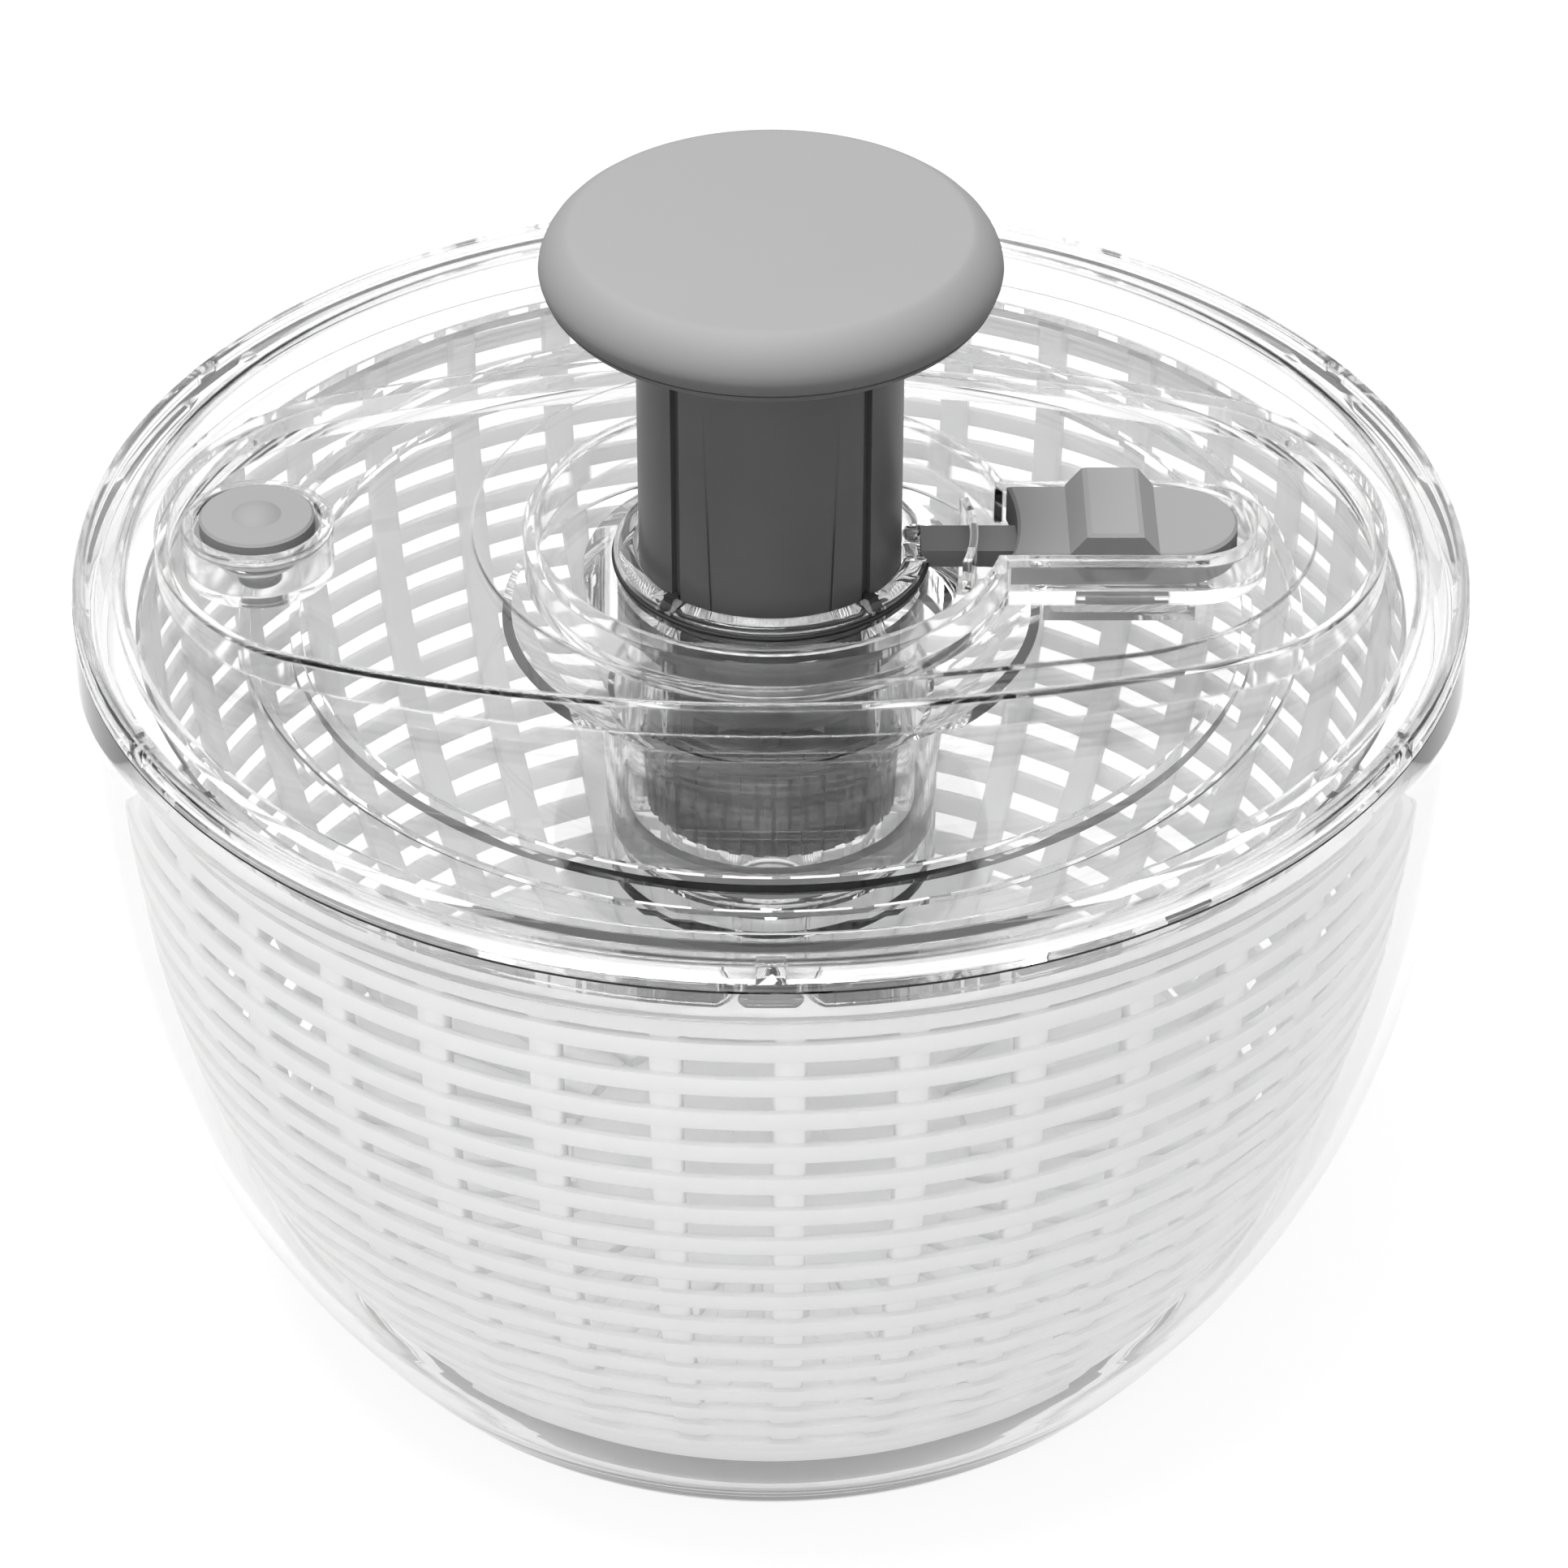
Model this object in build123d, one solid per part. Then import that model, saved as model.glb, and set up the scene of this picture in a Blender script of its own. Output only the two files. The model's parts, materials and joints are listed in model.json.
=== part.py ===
from build123d import *
from math import cos, pi, radians, sin
import os

# Salad spinner with a pump knob.  Millimetres, +Z up, origin at the middle of the bowl's base.
# The front is -Y; the brake button is on -X and the lock slider on +X.

# ---- Driving dimensions ----
GAP = 0.4                       # play between pieces that move past each other
BOWL_SIDE = [(91.2, 0), (102.4, 16), (122.9, 59), (133.1, 124), (133.3, 157.9)]
BOWL_FLARE = 0.72               # outward slope of the side where it leaves the base
BOWL_TOP = BOWL_SIDE[-1][1]
BOWL_WALL = 2.6
BOWL_FLOOR = 4.5

BASKET_INSET = 6.5              # from the bowl's outer face to the outer face of the slats
SLAT_DEPTH = 2.6
SKIN_T = 1.0
RIB_DEPTH = 2.2
RIB_WIDTH = 5.8
RIB_COUNT = 36
RIB_TURN = 1.5                  # degrees from the front to the middle of the nearest rib
SLAT_PITCH = 7.75
SLAT_HEIGHT = 4.85
SLAT_COUNT = 16
SLAT_TOP = 142.3                # top edge of the highest slat
RIM_TOP = 150.4
RIM_LOW = 143.6
WALL_LEVELS = [22, 36, 54, 76, 100, 124, RIM_TOP - 2.2]
HUB_R = 40.0                    # solid middle of the basket's floor
RIM_R = 127.3
BASKET_FLOOR = 11.0
BASKET_FLOOR_T = 2.2
PIVOT_R = 5.0
PIVOT_TOP = 17.0

LID_R = 133.0
LID_TOP = 164.0
LID_T = 2.2
LID_INNER_R = 122.9
LID_FLOOR = 161.5               # the low crescents in front and behind
DECK_TOP = 168.5
DECK_R = 117.5
DECK_HALF_WIDTH = 61.5
DECK_CORNER = (93.0, 44.0)
PAD_RISE = 0.8                  # the deck's inner field stands this much proud
WELL_R = 47.2                   # recess around the pump
WELL_FLOOR = 160.0
LUG_COUNT = 6
LUG_ANGLE = -90.0

TUBE_R = 25.3                   # plunger shaft
TUBE_BORE = 22.3
TUBE_BOTTOM = 145.2
KNOB_BOTTOM = 219.6
KNOB_SPLIT = 221.7
KNOB_TOP = 232.7
KNOB_R = 43.0
KNOB_FLAT_R = 37.2
PRESS = 52.0                    # travel of the knob
LEAD = 27.0                     # travel for one turn of the nut
ROD = (8.0, 3.6)                # section of the twisted rod
ROD_BOTTOM = 117.0

GUIDE_R = 28.2                  # guide tube, outside
GUIDE_BORE = TUBE_R + GAP
GUIDE_BOTTOM = 96.0
COLLAR_R = 30.1
COLLAR_TOP = 164.0

DISC_Z = 146.6                  # underside of the spinning disc
DISC_T = 1.8
DISC_R = 120.9
TRACK = (90.5, 102.0)           # brake track on the disc
TRACK_TOP = 150.8
FUNNEL_R = 32.6
FUNNEL_TOP_R = 50.0
FUNNEL_FLOOR = 92.2
DRUM_R = 21.5
DRUM_Z = (104.7, 129.5)
TOOTH_COUNT = 12

BRAKE_X = -98.0
BUTTON_R = 11.0
BUTTON_TOP = 170.2
BRAKE_TRAVEL = 2.8
SLIDER_X = (47.0, 89.0)
SLIDER_W = 24.5
SLIDER_TOP = 169.0
SLIDER_TRAVEL = 4.5
NECK_TIP = 28.6
NECK_W = 9.0

MIN = (Align.CENTER, Align.CENTER, Align.MIN)


# ---- Helpers ----
def turned(points):
    """Ring or disc from a closed outline of (radius, height) points."""
    outline = Polyline([(r, 0, z) for r, z in points], close=True)
    return revolve(make_face(outline), Axis.Z)


def tube(outer, inner, low, high):
    return turned([(inner, low), (outer, low), (outer, high), (inner, high)])


def rod(radius, low, high, x=0.0, y=0.0):
    return Pos(x, y, low) * Cylinder(radius, high - low, align=MIN)


def block(x0, x1, y0, y1, z0, z1):
    return Pos((x0 + x1) / 2, (y0 + y1) / 2, (z0 + z1) / 2) * Box(x1 - x0, y1 - y0, z1 - z0)


def prism(face, low, high):
    return Pos(0, 0, low) * extrude(face, high - low)


def around(shape, count, start=0.0):
    return [Rot(0, 0, start + i * 360 / count) * shape for i in range(count)]


def side_curve(inset, low=0.0):
    """The bowl's side moved inwards by inset, from height low up, as a curve of (radius, 0, height)."""
    side = Spline([(r, 0, z) for r, z in BOWL_SIDE], tangents=[(BOWL_FLARE, 0, 1), (0, 0, 1)])
    stops = [i / 6 for i in range(7)]
    moved = Spline([side @ u + Vector(-(side % u).Z, 0, (side % u).X) * inset for u in stops])
    first = share_at(moved, low)
    return Spline([moved @ (first + (1 - first) * u) for u in stops])


def share_at(curve, z):
    """How far along a rising curve height z lies, by halving."""
    low, high = 0.0, 1.0
    for _ in range(40):
        middle = (low + high) / 2
        if (curve @ middle).Z < z:
            low = middle
        else:
            high = middle
    return low


def radius_at(curve, z):
    return (curve @ share_at(curve, z)).X


def coil(radius, wire, low, high, turns):
    """Compression spring whose wire stays between the two heights."""
    path = Helix((high - low - 2 * wire) / turns, high - low - 2 * wire, radius)
    section = Plane(origin=path @ 0, z_dir=path % 0) * Circle(wire)
    return Pos(0, 0, low + wire) * sweep(section, path)


def twisted(width, depth, low, high):
    """Flat bar turned about Z, one turn in each LEAD, with its flats square to Y at height 0."""
    section = Rot(0, 0, 360 * low / LEAD) * Rectangle(width, depth)
    wire = (Pos(0, 0, low) * section).face().outer_wire()
    length = high - low
    return Solid.extrude_linear_with_rotation(wire, (0, 0, low), (0, 0, length), 360 * length / LEAD)


# ---- Bowl ----
def bowl():
    outer = side_curve(0)
    inner = side_curve(BOWL_WALL, BOWL_FLOOR + 2)
    base = Polyline([inner @ 0, ((inner @ 0).X - 6, 0, BOWL_FLOOR), (0, 0, BOWL_FLOOR), (0, 0, 0), outer @ 0])
    shell = revolve(make_face([outer, Line(outer @ 1, inner @ 1), inner, base]), Axis.Z)
    pivot = turned([(0, BOWL_FLOOR - 1), (9, BOWL_FLOOR - 1), (PIVOT_R, 8.0), (PIVOT_R, PIVOT_TOP - 2),
                    (PIVOT_R - 2, PIVOT_TOP), (0, PIVOT_TOP)])
    return shell + pivot


# ---- Basket ----
def basket_outline():
    """Wall section: hoops stepped out from a thin skin, then the floor to the middle."""
    side = side_curve(BASKET_INSET)
    inside = side_curve(BASKET_INSET + SLAT_DEPTH)
    step = SLAT_DEPTH - SKIN_T
    points = [(RIM_R, RIM_TOP), (RIM_R, RIM_LOW)]
    for i in range(SLAT_COUNT):
        top = SLAT_TOP - i * SLAT_PITCH
        low = top - SLAT_HEIGHT
        points += [(radius_at(side, top) - step, top), (radius_at(side, top), top),
                   (radius_at(side, low), low), (radius_at(side, low) - step, low)]
    floor_top = BASKET_FLOOR + BASKET_FLOOR_T
    points += [(86, BASKET_FLOOR), (11, BASKET_FLOOR), (9, BASKET_FLOOR - 3), (0, BASKET_FLOOR - 3),
               (0, 20), (9, 20), (13, floor_top), (84, floor_top)]
    points += [(radius_at(inside, z), z) for z in WALL_LEVELS]
    return points + [(121.5, RIM_TOP - LID_T), (121.5, RIM_TOP)]


def rib():
    """One upright rib: down the inside of the wall and across the floor to the hub."""
    floor_top = BASKET_FLOOR + BASKET_FLOOR_T
    inside = side_curve(BASKET_INSET + SLAT_DEPTH)
    wall = [(radius_at(inside, z) + SKIN_T / 2, 0, z) for z in WALL_LEVELS]
    face = [(radius_at(inside, z) - RIB_DEPTH, 0, z) for z in reversed(WALL_LEVELS)]
    foot = [(80, 0, floor_top + RIB_DEPTH), (HUB_R, 0, floor_top + RIB_DEPTH), (HUB_R, 0, floor_top - 1),
            (84, 0, floor_top - 1)]
    outline = Polyline(wall + face + foot, close=True)
    return extrude(make_face(outline), RIB_WIDTH / 2, both=True)


def basket():
    """Basket with hoops outside and ribs inside, joined by a skin where the windows are moulded."""
    body = turned(basket_outline()).fuse(*around(rib(), RIB_COUNT, -90 + RIB_TURN))
    notch = block(118, 123.9, -4.5, 4.5, 145, RIM_TOP + 1)
    body = body - around(notch, LUG_COUNT, LUG_ANGLE)
    return body - rod(PIVOT_R + 0.06, 0, PIVOT_TOP + GAP)


# ---- Lid ----
def deck_outline(inset=0.0):
    """Lens shape of the raised deck: two flat arcs and two round ends, with the joins smoothed."""
    x, y = DECK_CORNER[0] - 0.53 * inset, DECK_CORNER[1] - 0.85 * inset
    half, end = DECK_HALF_WIDTH - inset, DECK_R - inset
    outline = make_face([
        ThreePointArc((-x, -y), (0, -half), (x, -y)),
        ThreePointArc((x, -y), (end, 0), (x, y)),
        ThreePointArc((x, y), (0, half), (-x, y)),
        ThreePointArc((-x, y), (-end, 0), (-x, -y)),
    ])
    return fillet(outline.vertices(), 30 - inset)


def pad_outline(inset=0.0):
    """Pear shape around the pump and the slider."""
    return make_hull(Circle(57 - inset).edges() + (Pos(57, 0) * Circle(47 - inset)).edges())


def slider_pocket(inset=0.0):
    """Well around the pump joined to the slider's slot, with soft shoulders."""
    slot = Pos(55, 0) * SlotOverall(80 - 2 * inset, 30 - 2 * inset)
    return Circle(WELL_R - inset) + slot


def lid_shell():
    floor_low = LID_FLOOR - LID_T
    rim = turned([(LID_R - LID_T, 159.8), (LID_R, 159.8), (LID_R, 162.4), (132.4, 163.6), (131.2, LID_TOP),
                  (124.2, LID_TOP), (LID_INNER_R, 163.3), (LID_INNER_R, floor_low), (125.1, floor_low),
                  (125.1, 162.0), (LID_R - LID_T, 162.0)])
    floor = prism(Circle(LID_INNER_R + 1) - deck_outline(LID_T), floor_low, LID_FLOOR)
    deck_wall = prism(deck_outline() - deck_outline(LID_T), floor_low, DECK_TOP)
    deck = prism(deck_outline(), DECK_TOP - LID_T, DECK_TOP)
    pad = prism(pad_outline(), DECK_TOP - LID_T, DECK_TOP + PAD_RISE)
    shell = rim + floor + deck_wall + deck + pad
    shell = shell - prism(slider_pocket(), floor_low, DECK_TOP + 5)
    pocket_wall = prism(slider_pocket() - slider_pocket(LID_T), WELL_FLOOR - LID_T, DECK_TOP + PAD_RISE)
    pocket_floor = prism(slider_pocket(), WELL_FLOOR - LID_T, WELL_FLOOR)
    fence = prism(Circle(39.6) - Circle(38.0), WELL_FLOOR - 1, 166.8)
    fence = fence & block(30, 45, -11.4, 11.4, WELL_FLOOR - 1, 170)
    fence = fence - block(30, 45, -NECK_W / 2 - 1, NECK_W / 2 + 1, WELL_FLOOR, 165.8)
    sleeve = Pos(BRAKE_X, 0) * tube(14.4, 12.4, 157, DECK_TOP + 0.4)
    sleeve_floor = Pos(BRAKE_X, 0) * tube(14.4, 4.4, 157, 158.6)
    shell = shell - rod(12.4, 150, 175, BRAKE_X)
    shell = shell + pocket_wall + pocket_floor + fence + sleeve + sleeve_floor
    shell = shell - rod(GUIDE_R + 0.08, 150, 175)
    shell = shell - block(58, 76, -4.6, 4.6, 150, 165)
    lug_slot = block(130, 134, -2.6, 2.6, 159, 163.2)
    return shell - around(lug_slot, LUG_COUNT, LUG_ANGLE)


def lid_ring():
    """Lower ring of the lid: it rests on the bowl, locates inside it and carries the snap lugs."""
    ring = turned([(128.4, 149.5), (130.1, 149.5), (130.1, 158.2), (LID_R + 0.2, 158.2), (LID_R + 0.2, 159.8),
                   (128.4, 159.8)])
    lug = block(131.0, LID_R, -2.5, 2.5, 159.4, 163.0)
    return ring.fuse(*around(lug, LUG_COUNT, LUG_ANGLE))


def guide_tube():
    """Long clear tube that guides the plunger, with a collar above the well floor and a bead below."""
    low = WELL_FLOOR - LID_T
    body = turned([(GUIDE_BORE, GUIDE_BOTTOM), (29.6, GUIDE_BOTTOM), (29.6, GUIDE_BOTTOM + 2), (GUIDE_R, 99),
                   (GUIDE_R, low - 3), (36, low - 3), (36, low), (GUIDE_R, low), (GUIDE_R, WELL_FLOOR + 0.1),
                   (COLLAR_R, WELL_FLOOR + 0.1), (COLLAR_R, COLLAR_TOP - 0.8), (COLLAR_R - 0.8, COLLAR_TOP),
                   (GUIDE_BORE + 0.8, COLLAR_TOP), (GUIDE_BORE, COLLAR_TOP - 0.8)])
    key_slot = block(24, 27.4, -1.4, 1.4, 158, COLLAR_TOP + 1)
    neck_slot = block(20, 40, -NECK_W / 2 - GAP, NECK_W / 2 + GAP, WELL_FLOOR + 0.9, COLLAR_TOP + 1)
    seal_groove = tube(COLLAR_R + 1, COLLAR_R - 1.2, 161.0, 162.4)
    return body - around(key_slot, 4, 45) - neck_slot - seal_groove


def collar_seal():
    ring = tube(COLLAR_R + 0.5, COLLAR_R - 1.2, 161.0, 162.4)
    return ring - block(20, 40, -NECK_W / 2 - 1, NECK_W / 2 + 1, 160, 164)


def guide_keys():
    """Four blocks that ride in the shaft's grooves and stop it turning."""
    key = block(24.6, 27.4, -0.7, 0.7, 158.4, 163.8) + block(25.7, 27.4, -1.4, 1.4, 158.4, 163.8)
    return around(key, 4, 45)


def slider_guide():
    """Clear trough under the slot, which holds the slider's foot."""
    low = 149.8
    high = WELL_FLOOR - LID_T
    trough = block(52, 81, -8.2, 8.2, low, high) - block(53.6, 79.4, -6.6, 6.6, low + 1.6, high + 1)
    return trough + block(49, 84, -10, -6.6, high - 1.6, high) + block(49, 84, 6.6, 10, high - 1.6, high)


# ---- Spinning disc and clutch ----
def drive_disc():
    """Clear disc over the basket: rim with drive tabs, brake track, funnel and rod pocket."""
    low, high = DISC_Z, DISC_Z + DISC_T
    floor = FUNNEL_FLOOR
    wall = 2.0
    disc = turned([(DISC_R, low), (DISC_R, 150.2), (DISC_R - wall, 150.2), (DISC_R - wall, high),
                   (TRACK[1], high), (TRACK[1], TRACK_TOP), (TRACK[0], TRACK_TOP), (TRACK[0], high),
                   (FUNNEL_TOP_R, high), (FUNNEL_TOP_R + 1, low), (TRACK[0] + wall, low),
                   (TRACK[0] + wall, TRACK_TOP - wall), (TRACK[1] - wall, TRACK_TOP - wall),
                   (TRACK[1] - wall, low)])
    funnel = turned([(FUNNEL_TOP_R + 1, high), (FUNNEL_TOP_R, high), (FUNNEL_R - wall, 130.0),
                     (FUNNEL_R - wall, floor), (8, floor), (8, floor - wall), (FUNNEL_R, floor - wall),
                     (FUNNEL_R, 129.2), (FUNNEL_TOP_R + 1.8, low), (FUNNEL_TOP_R + 1.8, high)])
    pedestal = tube(19.0, 6.0, floor - wall, DRUM_Z[0])
    pocket = turned([(0, 60.0), (7.6, 60.0), (8.4, floor), (6.0, floor), (6.0, 62.0), (0, 62.0)])
    tab = block(DISC_R - 3, 123.4, -4.1, 4.1, high, 150.2)
    return disc.fuse(funnel, pedestal, pocket, *around(tab, LUG_COUNT, LUG_ANGLE))


def bearing_ring():
    """Slippery ring pressed into the funnel, which runs on the guide tube."""
    return tube(FUNNEL_R - 2.0, GUIDE_R + 0.06, 100.0, 106.0)


def face_teeth(inner, outer, low, high, count, start=0.0):
    tooth = block(inner, outer, -0.9, 0.9, low, high)
    return around(tooth, count, start)


def clutch_drum():
    low, high = DRUM_Z
    cup = turned([(6.2, low), (DRUM_R - 0.6, low), (DRUM_R - 0.6, high), (17.6, high), (17.6, low + 3.6),
                  (6.2, low + 3.6)])
    stave = block(DRUM_R - 1.2, DRUM_R, -1.1, 1.1, low, high - 3)
    band = tube(DRUM_R, DRUM_R - 1, 118.2, 119.4)
    teeth = face_teeth(9, 17.2, low + 3, low + 5.6, TOOTH_COUNT)
    return cup.fuse(band, *around(stave, 30), *teeth)


def clutch_cap():
    """Lid of the clutch with a crown of posts that carries the spring seat."""
    low = DRUM_Z[1] - 4.0
    plug = turned([(9.0, low), (17.5, low), (17.5, DRUM_Z[1]), (20.4, DRUM_Z[1]), (20.4, DRUM_Z[1] + 1.6),
                   (9.0, DRUM_Z[1] + 1.6)])
    post = block(11.5, 16.5, -1.8, 1.8, DRUM_Z[1] + 1, 137.4)
    seat = tube(17.2, 8.4, 137.0, 138.6)
    return plug.fuse(seat, *around(post, 6, 30))


def thrust_washer():
    return tube(14.5, 9.2, 123.3, 124.5)


def drive_nut():
    """Nut with a twisted slot: the rod turns it, and its face teeth drive the drum when it drops."""
    body = rod(15.5, 112.4, 122.8) + rod(8.93, 122.6, 127.5)
    body = body.fuse(*face_teeth(9, 15.2, 110.9, 112.6, TOOTH_COUNT, 15.0))
    return body - twisted(ROD[0] + 0.7, ROD[1] + 0.7, 109.0, 129.0)


# ---- Plunger ----
def knob_cap():
    side = Spline([(41.9, 0, KNOB_SPLIT), (KNOB_R, 0, 224.2), (KNOB_FLAT_R, 0, KNOB_TOP)],
                  tangents=[(0.6, 0, 1), (-1, 0, 0.45)])
    outer = make_face([side, Polyline([side @ 1, (0, 0, KNOB_TOP), (0, 0, KNOB_SPLIT), side @ 0])])
    cap = revolve(outer, Axis.Z)
    hollow = turned([(0, KNOB_SPLIT - 1), (38.8, KNOB_SPLIT - 1), (38.8, 226), (35.5, KNOB_TOP - 2.6),
                     (0, KNOB_TOP - 2.6)])
    boss = rod(4.2, KNOB_SPLIT, KNOB_TOP - 2, 31) - rod(1.4, KNOB_SPLIT - 1, KNOB_TOP - 3.6, 31)
    centre = rod(7, 224.3, KNOB_TOP - 2) - rod(1.6, 224, KNOB_TOP - 3.4)
    return (cap - hollow).fuse(centre, *around(boss, 3, 90))


def knob_base():
    """Under part of the knob: a band outside and a plug that holds the shaft."""
    plug = TUBE_BORE - 0.06
    base = turned([(5.4, 210.6), (plug, 210.6), (plug, KNOB_BOTTOM), (40.0, KNOB_BOTTOM),
                   (40.8, KNOB_BOTTOM + 0.6), (41.9, KNOB_SPLIT - 0.1), (38.7, KNOB_SPLIT - 0.1),
                   (38.7, KNOB_SPLIT), (8.2, KNOB_SPLIT), (8.2, 214.0), (5.4, 214.0)])
    holes = around(rod(1.9, 200, 230, 31), 3, 90)
    return base - holes


def screw(radius, head_r, head_low, tip, x=0.0):
    """Pan-head screw that points up, with a cross recess in its head."""
    body = rod(head_r, head_low, head_low + 1.8, x) + rod(radius, head_low + 1.5, tip, x)
    arm = block(x - head_r * 0.6, x + head_r * 0.6, -0.4, 0.4, head_low - 1, head_low + 0.9)
    cross = block(x - 0.4, x + 0.4, -head_r * 0.6, head_r * 0.6, head_low - 1, head_low + 0.9)
    return body - arm - cross


def knob_screws():
    return around(screw(1.35, 3.2, KNOB_BOTTOM - 1.8, 228.0, 31), 3, 90)


def rod_screw():
    """Screw that comes down through the knob base into the top of the rod."""
    head = rod(3.0, 222.3, 224.2)
    shank = rod(1.2, 212.0, 222.5)
    return head + shank - block(-2, 2, -0.4, 0.4, 223.3, 225)


def plunger_tube():
    body = tube(TUBE_R, TUBE_BORE, TUBE_BOTTOM, KNOB_BOTTOM)
    groove = block(TUBE_R - 1.3, TUBE_R + 1, -1.1, 1.1, TUBE_BOTTOM - 1, KNOB_BOTTOM + 1)
    lock_track = block(23.5, TUBE_R + 1, -NECK_W / 2 - GAP, NECK_W / 2 + GAP, TUBE_BOTTOM - 1, KNOB_BOTTOM - 2)
    seams = [Pos(side * 11.8, -TUBE_R, 182) * Rot(0, side * 2, 0) * Box(0.4, 6.6, 68) for side in (1, -1)]
    seams = [cut & tube(TUBE_R + 1, TUBE_R - 0.35, 140, 225) for cut in seams]
    front_and_back = seams + [Rot(0, 0, 180) * cut for cut in seams]
    return body - around(groove, 4, 45) - lock_track - front_and_back


def twist_rod():
    """Flat bar twisted about its length, with a round head that sits in the knob base."""
    shaft = twisted(ROD[0], ROD[1], ROD_BOTTOM, 214.5)
    head = rod(8.0, 214.0, 222.2)
    return head + shaft - rod(1.3, 211.8, 223)


def return_spring():
    return coil(14.2, 0.8, 138.6, 210.6, 13)


# ---- Brake ----
def brake_button():
    disc = turned([(0, 165.6), (12.0, 165.6), (12.0, 166.8), (BUTTON_R, 166.8), (BUTTON_R, BUTTON_TOP - 0.5),
                   (BUTTON_R - 0.5, BUTTON_TOP), (0, BUTTON_TOP)])
    dome_r = 8.2
    dome = Pos(0, 0, BUTTON_TOP + 1.5 - dome_r) * Sphere(dome_r) & rod(6, BUTTON_TOP - 1, BUTTON_TOP + 3)
    body = disc + dome - rod(2.5, 160, 168.4)
    return Pos(BRAKE_X, 0, 0) * body


def brake_washer():
    """Pale ring under the button that takes the spring."""
    return Pos(BRAKE_X, 0, 0) * tube(11.9, 4.1, 164.2, 165.6)


def brake_stem():
    stem = rod(4.0, 155.6, 165.6) + rod(2.45, 165, 168.3)
    return Pos(BRAKE_X, 0, 0) * stem


def brake_pad():
    pad = turned([(0, 154.0), (3.6, 154.0), (4.2, 154.4), (4.2, 155.6), (0, 155.6)])
    return Pos(BRAKE_X, 0, 0) * pad


def brake_spring():
    return Pos(BRAKE_X, 0, 0) * coil(7.4, 0.45, 158.6, 164.2, 3)


# ---- Lock slider ----
def lock_slider():
    left, right = SLIDER_X
    low = WELL_FLOOR + 1.2
    end_r = SLIDER_W / 2
    plan = Pos((left + right - end_r) / 2 - 1, 0) * Rectangle(right - left - end_r + 2, SLIDER_W)
    plan = plan + Pos(right - end_r, 0) * Circle(end_r)
    plan = plan - Circle(left)
    body = prism(plan, low, SLIDER_TOP)
    body = chamfer(body.faces().sort_by(Axis.Z)[-1].edges(), 0.6)
    ridge_top = SLIDER_TOP + 4.4
    profile = Polyline([(56.5, -end_r, SLIDER_TOP - 1), (73.5, -end_r, SLIDER_TOP - 1), (73.5, -end_r, SLIDER_TOP),
                        (70.0, -end_r, ridge_top), (60.0, -end_r, ridge_top), (56.5, -end_r, SLIDER_TOP)],
                       close=True)
    ridge = extrude(make_face(profile), SLIDER_W, dir=(0, 1, 0))
    ridge = chamfer(ridge.edges().group_by(Axis.Z)[-1], 0.6)
    neck = block(NECK_TIP, left + 2, -NECK_W / 2, NECK_W / 2, low, 164.8)
    leg = block(63.5, 70.5, -3.6, 3.6, 153.4, low + 1)
    return body + ridge + neck + leg


def slider_foot():
    """Clip pushed on the slider's leg from below, which keeps it in its slot."""
    foot = block(60.5, 73.5, -6.0, 6.0, 153.4, 156.6)
    return foot - block(63.5, 70.5, -3.6, 3.6, 150, 160)


def detent_spring():
    """Thin leaf in the trough that the foot clicks over."""
    leaf = block(56, 78, -6.2, 6.2, 151.4, 151.9)
    bump = turned([(0, 151.6), (1.6, 151.6), (0.9, 152.8), (0, 152.8)])
    return leaf + Pos(67, 0, 0) * bump


PIECES = [
    bowl, basket, lid_shell, lid_ring, guide_tube, collar_seal, guide_keys, slider_guide, detent_spring,
    drive_disc, bearing_ring, clutch_drum, clutch_cap, thrust_washer, drive_nut,
    knob_cap, knob_base, knob_screws, rod_screw, plunger_tube, twist_rod, return_spring,
    brake_button, brake_washer, brake_stem, brake_pad, brake_spring, lock_slider, slider_foot,
]

os.makedirs("parts", exist_ok=True)
for piece in PIECES:
    shape = piece()
    if isinstance(shape, list):
        shape = Compound(children=[solid for item in shape for solid in item.solids()])
    export_step(shape, f"parts/{piece.__name__}.step")
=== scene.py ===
# %% [markdown]
# # A pump salad spinner
# The real thing is a clear bowl with a white basket turning inside it. A clear lid carries a pump: pressing
# the knob pushes a twisted rod through a nut, and the nut spins the basket. This file takes the engineering
# model as a fixed frame and gives every piece the look of moulded plastic. Nothing that moves is moved here.

# %% Load the frame
import json
import math

import bmesh
import bpy
import numpy as np
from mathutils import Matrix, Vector


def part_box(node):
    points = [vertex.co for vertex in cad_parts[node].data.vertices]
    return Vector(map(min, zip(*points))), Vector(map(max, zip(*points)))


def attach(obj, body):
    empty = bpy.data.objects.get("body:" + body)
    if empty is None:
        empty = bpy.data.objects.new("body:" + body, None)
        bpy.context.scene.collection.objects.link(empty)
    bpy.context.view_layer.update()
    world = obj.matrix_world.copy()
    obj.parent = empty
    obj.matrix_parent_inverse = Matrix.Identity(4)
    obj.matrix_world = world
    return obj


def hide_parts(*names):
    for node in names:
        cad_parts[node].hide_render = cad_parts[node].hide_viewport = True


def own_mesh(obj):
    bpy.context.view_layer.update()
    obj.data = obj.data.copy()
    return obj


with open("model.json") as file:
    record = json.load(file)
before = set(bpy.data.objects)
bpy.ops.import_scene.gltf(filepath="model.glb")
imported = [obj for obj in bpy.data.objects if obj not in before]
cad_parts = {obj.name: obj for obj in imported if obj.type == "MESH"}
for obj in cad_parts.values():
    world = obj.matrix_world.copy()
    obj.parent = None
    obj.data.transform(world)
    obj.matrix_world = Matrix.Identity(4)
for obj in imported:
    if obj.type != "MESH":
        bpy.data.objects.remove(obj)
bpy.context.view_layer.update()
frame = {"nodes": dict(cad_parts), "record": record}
NODES = frame["nodes"]
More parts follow.
